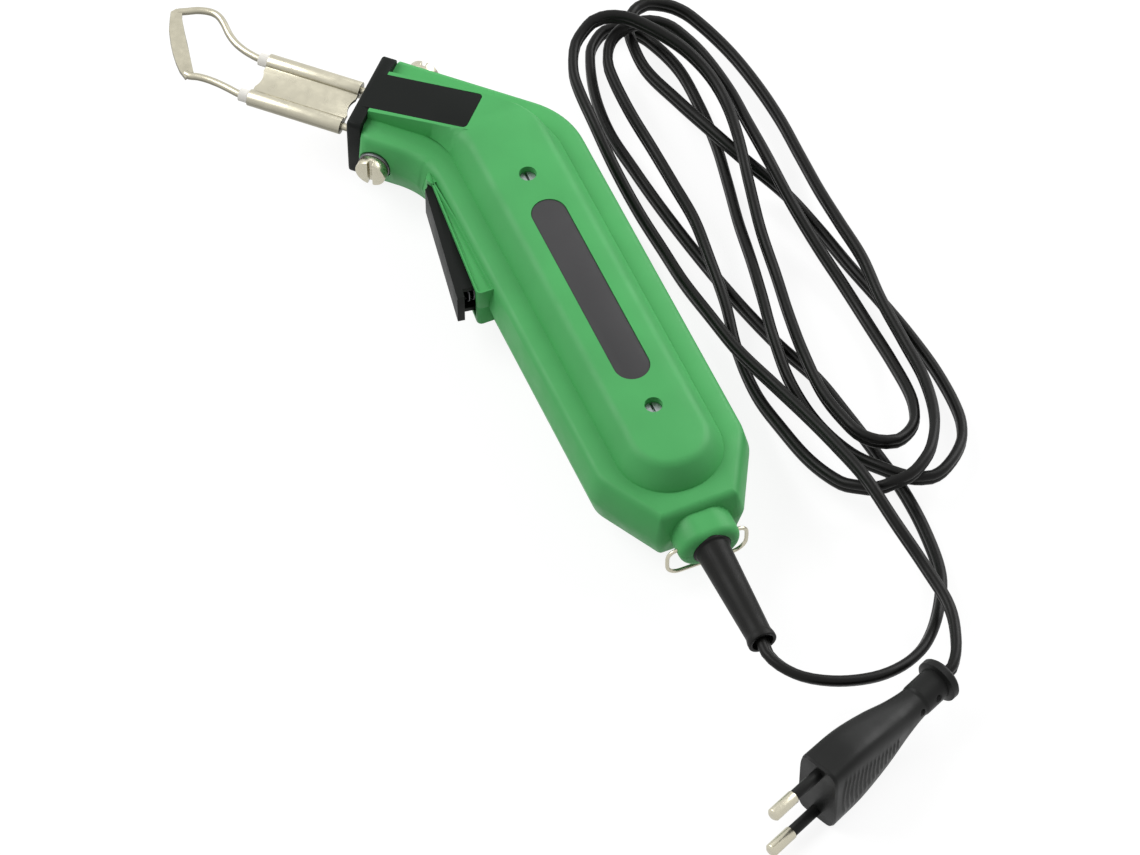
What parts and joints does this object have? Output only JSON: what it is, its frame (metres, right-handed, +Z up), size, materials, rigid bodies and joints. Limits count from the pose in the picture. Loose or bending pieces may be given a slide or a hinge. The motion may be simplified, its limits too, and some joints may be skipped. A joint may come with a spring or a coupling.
{
  "type": "electric hot knife",
  "caption": "Electric hot knife with a bent moulded handle, sprung trigger, clamped wire loop blade, hanging bail, flat cord and mains plug.",
  "frame": {"origin": "Centre of the bottom of the tool's box, without its cord and plug, as it lies on its side", "axes": "+X along the handle towards the blade, +Y to the trigger side, +Z up"},
  "size_m": [0.3421, 0.1696, 0.034],
  "materials": {
    "green_plastic": "satin moulded",
    "black_plastic": "satin moulded",
    "label": "matt printed film",
    "steel": "nickel plated",
    "wire": "drawn heating wire",
    "brass": "machined",
    "copper": "copper bar and enamelled copper wire",
    "ceramic": "unglazed",
    "core": "stacked laminations",
    "bobbin": "moulded",
    "red_plastic": "moulded",
    "rubber": "soft black",
    "pin_metal": "nickel plated"
  },
  "bodies": {
    "housing": {"upper_shell": "green_plastic", "lower_shell": "green_plastic", "label_plate": "label", "head_block": "black_plastic", "terminal_far": "brass", "terminal_near": "brass", "case_screws": "steel", "case_nuts": "steel", "pivot_pin": "steel", "trigger_spring": "steel", "switch_body": "black_plastic", "transformer_core": "core", "bobbin": "bobbin", "primary_winding": "copper", "secondary_winding": "copper", "busbar_far": "copper", "busbar_near": "copper", "cord_clamp": "black_plastic", "clamp_bar_screws": "steel", "bend_sleeve": "rubber", "power_cord": "rubber", "plug_body": "rubber", "plug_pins": "pin_metal", "pin_sleeves": "black_plastic"},
    "trigger": {"trigger": "black_plastic"},
    "plunger": {"switch_plunger": "red_plastic"},
    "blade": {"blade": "wire", "ceramic_tubes": "ceramic", "blade_holder": "steel"},
    "washer_near": {"clamp_washer_near": "steel"},
    "washer_far": {"clamp_washer_far": "steel"},
    "screw_near": {"clamp_screw_near": "steel"},
    "screw_far": {"clamp_screw_far": "steel"},
    "bail": {"hanging_bail": "steel"}
  },
  "joints": [
    {"name": "trigger_press", "type": "hinge", "parent": "housing", "child": "trigger", "pos_m": [0.04393, -0.0037, 0.017], "axis": [0, 0, 1], "range_deg": [0, 4], "stiffness_Nm_per_rad": 1, "springref_deg": -8.59, "deforming": ["trigger_spring"]},
    {"name": "plunger_push", "type": "slide", "parent": "housing", "child": "plunger", "axis": [0, -1, 0], "range_m": [0, 0.0018]},
    {"name": "blade_pull", "type": "slide", "parent": "housing", "child": "blade", "axis": [0.7071, 0.7071, 0], "range_m": [0, 0.018]},
    {"name": "clamp_near_out", "type": "slide", "parent": "housing", "child": "washer_near", "axis": [-0.7071, 0.7071, 0], "range_m": [0, 0.0016]},
    {"name": "clamp_near_turn", "type": "hinge", "parent": "washer_near", "child": "screw_near", "pos_m": [0.06096, 0.0101, 0.017], "axis": [-0.7071, 0.7071, 0], "range_deg": [0, 720]},
    {"name": "clamp_far_out", "type": "slide", "parent": "housing", "child": "washer_far", "axis": [0.7071, -0.7071, 0], "range_m": [0, 0.0016]},
    {"name": "clamp_far_turn", "type": "hinge", "parent": "washer_far", "child": "screw_far", "pos_m": [0.08642, -0.01536, 0.017], "axis": [0.7071, -0.7071, 0], "range_deg": [0, 720]},
    {"name": "bail_swing", "type": "hinge", "parent": "housing", "child": "bail", "pos_m": [-0.10357, -0.0259, 0.017], "axis": [0, 1, 0], "range_deg": [-8, 50]}
  ],
  "couplings": [
    {"joint": "plunger_push", "follows": "trigger_press", "m_per_rad": 0.0235},
    {"joint": "clamp_near_turn", "follows": "clamp_near_out", "rad_per_m": 7854},
    {"joint": "clamp_far_turn", "follows": "clamp_far_out", "rad_per_m": 7854}
  ]
}
